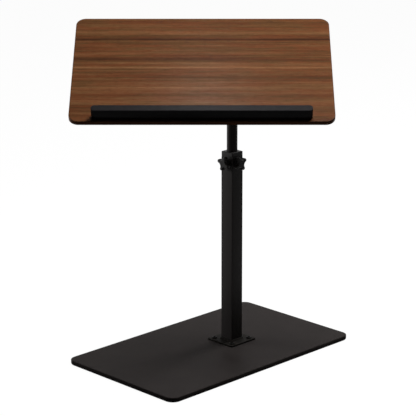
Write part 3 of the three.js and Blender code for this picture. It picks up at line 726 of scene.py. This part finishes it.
# Mast: a round tube in the same satin black. Its plugged lower end carries a square nylon glide, held by
# a clip, that keeps it in the middle of the post as it goes up and down.
PLUG_EASE = 0.5 * MM
GLIDE_EASE = 0.6 * MM
TUBE_RIM = 0.3 * MM

bore, outer, low, high = post_axis.reach("mast_tube")
mast = tube_rings(bore, outer, low, high, TUBE_RIM, columns=96)
post_axis.fit("round_mast", mast, satin_black, "mast", "black_steel", "mast_tube", closed=True)

neck = bore - TUBE_RIM
step = low - TUBE_RIM
_, flange, low, high = post_axis.reach("mast_end_plug")
plug = turned(rounded(
    [(flange / 2, low), (flange, low), (flange, step), (neck, step), (neck, high), (bore / 2, high)],
    [PLUG_EASE, PLUG_EASE, TURNED_EASE, PLUG_EASE],
))
post_axis.fit("end_plug", plug, moulded_black, "mast", "black_plastic", "mast_end_plug")

bore, _, low, high = post_axis.reach("square_glide")
side = 2 * post_axis.box("square_glide")[1, 0]
hole = np.array([(bore, high), (bore, low)])
glide = bored_block(side, BUSH_CORNER, rim(low, high, BUSH_FLAT / 2, GLIDE_EASE), hole)
post_axis.fit("glide", glide, natural_nylon, "carriage", "nylon", "square_glide", closed=True)

clip = tube_rings(*post_axis.reach("glide_clip"))
post_axis.fit("clip_ring", clip, zinc_plate, "mast", "zinc_steel", "glide_clip", closed=True)

# Tilt head: a channel folded from 3 mm sheet and welded on the mast's top, black like the mast. The
# pivot bolt crosses its cheeks near the top, and the clamp bolt crosses them lower down.
HEAD_SHEET = 3 * MM
HEAD_BEND = 4.5 * MM
HEAD_CORNER = 10 * MM
SHEET_EASE = 0.4 * MM


def folded_channel(low, high, steps=12):
    """A U folded from flat sheet. The outer path goes down one cheek, round two quarter bends and up the
    other. Each station carries the sheet's section, whose width near the two ends follows a quarter
    circle, so that the cheeks end in round corners."""
    swing = np.linspace(0, np.pi / 2, steps + 1)
    straight = high[2] - low[2] - HEAD_BEND
    down = np.append(HEAD_CORNER * (1 - np.cos(swing)), straight)
    bend = swing[1:]
    bend_x = HEAD_BEND * (1 - np.cos(bend)) - high[0]
    bend_z = HEAD_BEND * (1 - np.sin(bend)) + low[2]
    cheek = [np.full(len(down), -high[0]), high[2] - down, np.ones(len(down)), np.zeros(len(down))]
    half = np.hstack([cheek, [bend_x, bend_z, np.cos(bend), np.sin(bend)]])
    x, z, inward_x, inward_z = np.hstack([half, half[:, ::-1] * [[-1], [1], [-1], [1]]])[..., None]

    short = np.clip(HEAD_CORNER - np.append(down, np.full(steps, straight)), 0, HEAD_CORNER)
    width = high[1] - HEAD_CORNER + np.sqrt(HEAD_CORNER**2 - short**2)
    width = np.append(width, width[::-1]).reshape(-1, 1, 1)
    section = rectangle(HEAD_SHEET, 2 * width, SHEET_EASE, np.zeros(len(width)), steps=3)
    depth = HEAD_SHEET / 2 - section[..., 0]
    return np.stack([x + inward_x * depth, section[..., 1], z + inward_z * depth], -1)


tilt_axis = np.array(joints["tilt"]["axis"], float)
pivot = np.array(joints["tilt"]["pos_m"])
mast_top = Seat(post_axis.origin, np.stack([tilt_axis, np.cross((0, 0, 1), tilt_axis), (0, 0, 1)]))
channel = folded_channel(*mast_top.box("tilt_head"))
mast_top.fit("folded_head", channel, satin_black, "mast", "black_steel", "tilt_head")

# Pivot and clamp hardware: two M8 bolts cross the head. On each, a spacer keeps the cheeks apart, slip
# washers let the bracket's ears turn, and steel washers spread the load.
M8_RADIUS = 4 * MM
SEAT_GAP = 0.3 * MM
BOLT_FLATS = 13 * MM
BOLT_FACE_SHARE = 0.475
BOLT_CONE = math.tan(math.radians(60))
BOLT_END = 0.8 * MM
NUT_COLLAR_SHARE = 0.3
NUT_COLLAR = 5.8 * MM
NUT_EASE = 0.8 * MM


def hex_rim(face, seat, flats):
    """Rows from a flat round face to the full hexagon: a 30 degree cone that cuts the six corners off."""
    corner = flats / 2 / math.cos(math.pi / 6)
    radius = np.linspace(BOLT_FACE_SHARE * flats, corner, 9)
    height = face + math.copysign(1, seat - face) * (radius - radius[0]) / BOLT_CONE
    return np.stack([radius, height], -1)


def hex_bolt(head_low, seat, end, shank):
    """A hexagon bolt: a chamfered head, then a round shank with a chamfered end."""
    crown = hex_rim(head_low, seat, BOLT_FLATS)
    body = [(BOLT_FLATS, seat), (shank, seat), (shank, end - BOLT_END), (shank - BOLT_END, end)]
    rows = np.vstack([crown, body])
    flats = np.where(rows[:, 0] > shank, BOLT_FLATS, np.inf)
    return turned(rows, flats)


def lock_nut(low, high, bore):
    """A lock nut: a hexagon chamfered below, a round collar above it, and a plain bore."""
    collar_low = high - NUT_COLLAR_SHARE * (high - low)
    skirt = hex_rim(low, high, BOLT_FLATS)
    shoulder = hex_rim(collar_low, low, BOLT_FLATS)[::-1]
    collar = rounded([(NUT_COLLAR, collar_low), (NUT_COLLAR, high), (bore, high)], NUT_EASE)
    rows = np.vstack([skirt, shoulder, collar, [(bore, low)]])
    flats = np.where(rows[:, 0] > NUT_COLLAR + TURNED_EASE, BOLT_FLATS, np.inf)
    return turned(rows, flats)


STEEL = (zinc_plate, "mast", "zinc_steel")
NYLON = (natural_nylon, "mast", "nylon")
RING_KINDS = {
    "spacer": STEEL, "slip_washer_left": NYLON, "slip_washer_right": NYLON, "washer_left": STEEL,
}
cross_axes = axes_along(tilt_axis, (0, 0, 1))
pivot_seat = Seat(pivot, cross_axes)
clamp_seat = Seat(joints["tilt_clamp_turn"]["pos_m"], cross_axes)
for name, seat in (("pivot", pivot_seat), ("clamp", clamp_seat)):
    kinds = RING_KINDS | ({"washer_right": STEEL} if name == "pivot" else {})
    for kind, made_of in kinds.items():
        node = f"{name}_{kind}"
        seat.fit(f"{node}_turned", tube_rings(*seat.reach(node)), *made_of, node, closed=True)
    node = f"{name}_bolt"
    _, _, head_low, end = seat.reach(node)
    _, _, washer_low, _ = seat.reach(f"{name}_washer_left")
    seat.fit(f"{name}_hex_bolt", hex_bolt(head_low, washer_low - SEAT_GAP, end, M8_RADIUS), *STEEL, node)

bore, _, low, high = pivot_seat.reach("pivot_nut")
pivot_seat.fit("lock_nut", lock_nut(low, high, bore), *STEEL, "pivot_nut", closed=True)

node = "tilt_thrust_washer"
rings = tube_rings(*clamp_seat.reach(node))
clamp_seat.fit("thrust_washer", rings, zinc_plate, "tilt_clamp_washer", "zinc_steel", node, closed=True)

# Tilt knob: a larger four-lobed knob of moulded nylon on the clamp bolt's right-hand end. Its turned
# brass insert carries the thread.
TILT_KNOB = {
    "neck": 9 * MM, "neck_long": 5 * MM, "lobe": 6 * MM, "waist": 10.5 * MM,
    "eases": (1.4 * MM, 3.2 * MM), "eye": 5 * MM, "eye_deep": 0.6 * MM,
}
BRASS_TONES = ((222, 184, 112), (190, 150, 86))

# Turned brass, a little tarnished.
turned_brass = mottled(
    "turned_brass", {"Metallic": 1.0}, cloud=(260, 3), tones=BRASS_TONES, haze=(260, 3), rough=(0.24, 0.4),
    hills=(1900, 2), depth=0.015 * MM,
)
fit_knob(clamp_seat, "lobed_tilt_knob", TILT_KNOB, "tilt_clamp_knob", "tilt_knob")
node = "tilt_knob_insert"
rings = tube_rings(*clamp_seat.reach(node))
clamp_seat.fit("brass_insert", rings, turned_brass, "tilt_clamp_knob", "brass", node, closed=True)

# Tilt bracket: a steel plate under the board and two slotted ears welded to it, laser cut, deburred and
# powder coated. Four screws hold it to the board.
BRACKET_EASE = 0.35 * MM
EASED_TURN = math.radians(50)
FLAT_TURN = math.radians(1)
MERGE_WITHIN = 0.001 * MM
RECESS_ARM = 1.9 * MM
RECESS_HALF = 0.45 * MM
RECESS_SHARES = np.array([[0.45], [0.9], [1]])
RECESS_DEPTHS = np.array([1.2, 0.15, 0]) * MM
CROWN_SHARE = 0.66
CROWN_RISE = 0.8
HEAD_RIM_SHARE = 0.9
POINT_LONG = 2
POINT_BLUNT = 0.15
SCREW_TIP = 5 * MM


def eased_copy(name, node, finish):
    """A frame node's own shape, merged into clean flat faces, with every edge eased by a narrow bevel."""
    mesh = frame["nodes"][node].data.copy()
    work = bmesh.new()
    work.from_mesh(mesh)
    bmesh.ops.remove_doubles(work, verts=work.verts, dist=MERGE_WITHIN)
    bmesh.ops.dissolve_limit(work, angle_limit=FLAT_TURN, verts=work.verts, edges=work.edges)
    work.to_mesh(mesh)
    work.free()
    mesh.materials.clear()
    piece = smooth(name, mesh, finish)
    bevel = piece.modifiers.new("ease", "BEVEL")
    bevel.width = BRACKET_EASE
    bevel.segments = 2
    bevel.limit_method = "ANGLE"
    bevel.angle_limit = EASED_TURN
    return piece


def cross_section(turn, arm):
    """How far a cross recess reaches at each turn: the arm's end near its axis, its flank elsewhere."""
    off = np.abs((turn + np.pi / 4) % (np.pi / 2) - np.pi / 4)
    flank = RECESS_HALF / np.maximum(np.sin(off), 1e-6)
    return np.minimum(arm / np.cos(off), flank)


def wood_screw(low, seat, tip, shank, head, columns=96):
    """A domed screw head with a tapering cross recess, on a shank that ends in a point. It is drawn
    from the recess outwards, head down."""
    turn = np.linspace(0, 2 * np.pi, columns, endpoint=False)[None]
    radius = cross_section(turn, RECESS_SHARES * RECESS_ARM)
    recess = lifted(radius[..., None] * around(turn), low + RECESS_DEPTHS)
    swing = np.linspace(0, np.pi / 2, 7)[:, None]
    crown = CROWN_SHARE * head
    rise = (seat - low) * CROWN_RISE
    dome = np.hstack([crown + (head - crown) * np.sin(swing), low + rise * (1 - np.cos(swing))])
    point = [(shank, tip - POINT_LONG * shank), (POINT_BLUNT * shank, tip)]
    rows = np.vstack([dome, [(head, seat), (shank, seat)], point])
    return np.concatenate([recess, turned(rows, columns=columns)])


ledge = next(mount for mount in frame["record"]["mounts"] if mount["name"] == "book_ledge")
top_axes = np.stack([tilt_axis, ledge["axis"], np.cross(tilt_axis, ledge["axis"])])
top_axes /= np.linalg.norm(top_axes, axis=1, keepdims=True)
top = Seat(pivot, top_axes)

for node in ("bracket_plate", "bracket_ear_left", "bracket_ear_right"):
    fit(eased_copy(f"{node}_deburred", node, satin_black), "top", "black_steel", node)


def fit_screw(node):
    """One wood screw of the top, from the size and place of its frame node."""
    points = top.points(node)
    centre = top.box(node).mean(0) * (1, 1, 0)
    level = points[:, 2]
    low, tip = level.min(), level.max()
    radius = np.hypot(*(points - centre)[:, :2].T)
    head = radius.max()
    shank = radius[level > tip - SCREW_TIP].max()
    seat = level[radius > HEAD_RIM_SHARE * head].max()
    rings = wood_screw(low, seat, tip, shank, head)
    top.fit(f"{node}_driven", rings + centre, zinc_plate, "top", "zinc_steel", node)


for number in range(1, 5):
    fit_screw(f"bracket_screw_{number}")

# Board: 9 mm board faced with walnut on both sides, its straight grain along the length, under a satin
# lacquer. Growth lines run from end to end, and short streaks and pores lie between them. The light
# lift at 249 mm, by the book stop, is a painted highlight along the stop's foot.
BOARD_CORNER = 19 * MM
BAND_THICK = 1 * MM
BOARD_GAP = 0.05 * MM
BOARD_EASE = 0.1 * MM
BOARD_LID = 4 * MM
BOARD_STEPS = 24
WALNUT_GLOSS = 0.03
WALNUT_ROUGH = (0.27, 0.22)
WALNUT_DARK = (59, 32, 16)
WALNUT_RED = (107, 62, 35)
WALNUT_BROWN = (98, 65, 37)
WALNUT_PALE = (142, 98, 64)
WALNUT_PORE = (44, 24, 14)
# Growth lines across the board, in mm from its back edge; the light lift at 249 mm by the book stop is a painted
# highlight.
GROWTH_LINES_AND_STOP_HIGHLIGHT = (
    (9, 14, -0.09), (43, 11, 0.15), (88, 5, -0.06), (123.5, 10, -0.24), (144, 10, 0.12), (147, 5, 0.34),
    (186, 6, -0.06), (199, 16, 0.1), (206.5, 4.5, 0.16), (220, 9, 0.07), (249, 9, 0.2), (285, 3, -0.15),
)
WALNUT_STREAKS = ((1500, 10, 0.1), (900, 3, 0.1), (220, 14, 0.1), (26, 3.5, 0.05))
WALNUT_HAIR = (18, 1.2)
HAIR_WEIGHT = 0.07
STEP_FADE = 50 * MM
STEP_EDGE = 65 * MM
STEP_WIDE = 2.5 * MM
STEP_DEPTH = 0.36
LINE_WANDER = 1.0 * MM
WANDER_SIZE = (160, 40)
HUE_STREAKS = ((150, 12), (50, 5))
PORES = (12, 0.28, 1.0)
PORE_RANGE = (0.6, 0.9)
PORE_SHARE = 0.6
PORE_DEEP = 0.03 * MM
GRAIN_RANGE = (0.25, 0.75)


def board_place(paint):
    """A point in the board's own axes: X along its length, Y across it from the middle, Z out of it."""
    turn = Matrix(top_axes.tolist()).to_euler()
    shift = -top_axes @ pivot
    sockets = {"Vector": paint.place(), "Location": shift.tolist(), "Rotation": turn[:]}
    return paint.node("ShaderNodeMapping", {}, sockets)


def grain(paint, place, long, wide, detail=2.0):
    """Streaks that are about long by wide millimetres, along the board, from -1 to 1."""
    hills = paint.noise(1, detail, paint.stretched(place, (1000 / long, 1000 / wide, 1000 / wide)))
    return paint.climb(hills, *GRAIN_RANGE, -1, 1)


def growth(paint, across, middle, half_width, lift):
    """One growth line: its lift on the line, falling softly to nothing at its half width."""
    offset = paint.node("ShaderNodeMath", {"operation": "ABSOLUTE"}, {0: across - middle})
    return paint.climb(offset, 0, half_width, lift, 0)


def walnut_finish(board_wide):
    """Walnut veneer. Growth lines, one of them with a sharp step, make its tone with bands of two widths
    and streaks of three; the light lift by the book stop is a painted highlight. A slower noise turns it
    from red brown to yellow brown, and short dark pores lie along the grain."""
    paint = Paint("walnut_veneer", {GLOSS: WALNUT_GLOSS})
    place = board_place(paint)
    back = board_wide / 2
    wander = grain(paint, place, *WANDER_SIZE) * LINE_WANDER
    across = paint.node("ShaderNodeSeparateXYZ", {}, {0: place}, 1) + wander

    level = 0.5
    for long, wide, weight in WALNUT_STREAKS:
        level = level + grain(paint, place, long, wide) * weight
    hair = grain(paint, place, *WALNUT_HAIR)
    level = level + hair * HAIR_WEIGHT
    for middle, half_width, lift in GROWTH_LINES_AND_STOP_HIGHLIGHT:
        level = level + growth(paint, across, back - middle * MM, half_width * MM, lift)
    step = paint.climb(across, back - STEP_FADE, back - STEP_EDGE, 0, STEP_DEPTH)
    level = level - step * paint.climb(across, back - STEP_EDGE - STEP_WIDE, back - STEP_EDGE)

    broad, narrow = (grain(paint, place, *size) for size in HUE_STREAKS)
    hue = broad * 0.5 + narrow * 0.5
    middle_tone = paint.mix(hue * 1.5 + 0.5, colour(*WALNUT_RED), colour(*WALNUT_BROWN))
    lower = paint.mix(level * 2, colour(*WALNUT_DARK), middle_tone)
    figured = paint.mix(level * 2 - 1, lower, colour(*WALNUT_PALE))
    pores = paint.climb(grain(paint, place, *PORES), *PORE_RANGE)
    paint.drive("Base Color", paint.mix(pores * PORE_SHARE, figured, colour(*WALNUT_PORE)))
    paint.drive("Roughness", paint.climb(level, 0.2, 0.8, *WALNUT_ROUGH))
    paint.emboss(hair * 0.3 - pores, PORE_DEEP)
    return paint.material


board_box = top.box("edge_band")
low, high = board_box[:, 2]
board_profile = rim(low, high, BOARD_LID, BOARD_EASE, BAND_THICK + BOARD_GAP)
board_rings = plate(board_box, BOARD_CORNER, board_profile, BOARD_STEPS)
walnut = walnut_finish(np.ptp(board_box[:, 1]))
top.fit("walnut_top", board_rings, walnut, "top", "walnut_board", "table_board")

# Edge band: a strip of darker walnut, 1 mm thick, glued right round the board and eased at both rims.
# Its grain follows the edge, round the corners too.
BAND_EASE = 0.6 * MM
BAND_STREAK = (12, 900, 1)
BAND_HAIR = (40, 4000, 1)
BAND_TONES = ((65, 41, 29), (119, 76, 53))
BAND_RANGE = (0.35, 0.65)
BAND_DEEP = 0.03 * MM
BAND_GLOSS = 0.02
BAND_ROUGH = (0.5, 0.42)


def band_finish():
    """Dark walnut edging. Its streaks follow the UV map: long round the board, narrow across the edge."""
    paint = Paint("walnut_edging", {GLOSS: BAND_GLOSS})
    round_edge = paint.node("ShaderNodeTexCoord", {}, {}, "UV")
    streak = paint.noise(1, 3.0, paint.stretched(round_edge, BAND_STREAK))
    hair = paint.noise(1, 2.0, paint.stretched(round_edge, BAND_HAIR))
    tone = paint.climb(streak * 0.7 + hair * 0.3, *BAND_RANGE)
    paint.tint(tone, BAND_TONES)
    paint.drive("Roughness", paint.climb(tone, 0, 1, *BAND_ROUGH))
    paint.emboss(hair, BAND_DEEP)
    return paint.material


band_profile = rounded(
    [(0, low), (0, high), (BAND_THICK, high), (BAND_THICK, low)],
    [BAND_EASE, BAND_EASE, BOARD_EASE, BOARD_EASE], closed=True,
)
band_rings = plate(board_box, BOARD_CORNER, band_profile, BOARD_STEPS)
top.fit("edge_strip", band_rings, band_finish(), "top", "walnut_edge", "edge_band", closed=True)

# Book stop: a black moulded bar with round ends, along the board's lower edge. Three screws hold it from
# below, through the board.
STOP_CORNER = 7 * MM
STOP_STEPS = 14
STOP_EASES = (0.5 * MM, 1 * MM)
STOP_LID = 3 * MM
STOP_TONES = ((36, 34, 35), (44, 42, 43))

# Smooth black plastic with a satin skin and the faintest grain.
stop_black = moulded_finish(
    "stop_black", gloss=0.02, bloom=(45, 3), tones=STOP_TONES, skin=2400, share=0.6, rough=(0.24, 0.32),
    depth=0.03 * MM,
)
stop_box = top.box("book_stop")
stop_rings = plate(stop_box, STOP_CORNER, rim(*stop_box[:, 2], STOP_LID, STOP_EASES), STOP_STEPS)
top.fit("book_stop_bar", stop_rings, stop_black, "top", "stop_black", "book_stop")
for number in range(1, 4):
    fit_screw(f"stop_screw_{number}")

# Studio: a floor and walls that the camera and reflections see as white, with the table's soft shadow
# on the floor, and soft lamps above, behind and on the left. The floor throws back little light of its
# own, so that what faces down stays dark.
FLOOR_SIDE = 40
FLOOR_GREY = 0.1
FLOOR_GLOW = 0.965
FLOOR_CATCH = 0.07
WORLD_LEVEL = 0.0
LAMP_AIM = (0, 0, 0.3)


class Studio(Nodes):
    """The nodes of the floor or of the world, which look white to some rays and light the rest."""

    def seen(self):
        """1 for a ray from the camera, off a mirror or through glass, and 0 for any other."""
        kinds = ("Is Camera Ray", "Is Glossy Ray", "Is Transmission Ray")
        camera, glossy, clear = (self.node("ShaderNodeLightPath", {}, {}, kind) for kind in kinds)
        return camera + glossy + clear

    def grey(self, kind, level):
        """A matt or a glowing shader in an even grey."""
        return self.node(kind, {}, {"Color": (level, level, level, 1)})

    def surface(self, output, plain, white):
        """Shows white where it is seen, and the plain shader to all other rays."""
        choice = self.node("ShaderNodeMixShader", {}, {0: self.seen(), 1: plain, 2: white})
        self.tree.links.new(choice.socket, self.tree.nodes[output].inputs["Surface"])


floor_paint = bpy.data.materials.new("studio_floor")
floor_nodes = Studio(floor_paint)
catch = floor_nodes.grey("ShaderNodeBsdfDiffuse", FLOOR_CATCH)
glow = floor_nodes.grey("ShaderNodeEmission", FLOOR_GLOW)
floor_nodes.surface(
    "Material Output", floor_nodes.grey("ShaderNodeBsdfDiffuse", FLOOR_GREY),
    floor_nodes.node("ShaderNodeAddShader", {}, {0: catch, 1: glow}),
)
floor_mesh = bpy.data.meshes.new("floor")
half = FLOOR_SIDE / 2
floor_corners = [(-half, -half, 0), (half, -half, 0), (half, half, 0), (-half, half, 0)]
floor_mesh.from_pydata(floor_corners, [], [(0, 1, 2, 3)])
floor_mesh.materials.append(floor_paint)
added("floor", floor_mesh)

world = bpy.data.worlds.new("studio_world")
bpy.context.scene.world = world
walls = Studio(world)
walls.surface(
    "World Output", walls.grey("ShaderNodeBackground", WORLD_LEVEL), walls.grey("ShaderNodeBackground", 1),
)


def soft_lamp(name, turn, rise, far, size, level):
    """A square area lamp that faces the table from a turn and a rise in degrees. A white card held up to
    it at the table is as bright as its level, at any distance."""
    turn, rise = math.radians(turn), math.radians(rise)
    toward = np.array([math.cos(rise) * math.cos(turn), math.cos(rise) * math.sin(turn), math.sin(rise)])
    lamp = bpy.data.lights.new(name, "AREA")
    lamp.size = size
    lamp.energy = level * (math.pi * far) ** 2
    axes = Matrix(axes_along(toward, (1, 0.1, 0)).T.tolist()).to_4x4()
    added(name, lamp).matrix_world = Matrix.Translation(toward * far + LAMP_AIM) @ axes


soft_lamp("overhead", turn=-32, rise=68, far=3.0, size=1.1, level=0.31)
soft_lamp("near", turn=-70, rise=79, far=1.1, size=0.4, level=0.31)
soft_lamp("back", turn=0, rise=51, far=3.2, size=0.75, level=0.4)
soft_lamp("left", turn=116, rise=9, far=0.8, size=0.35, level=0.47)
soft_lamp("sheen", turn=48.5, rise=80, far=1.57, size=0.2, level=0.12)

bpy.context.scene.view_settings.view_transform = "Standard"
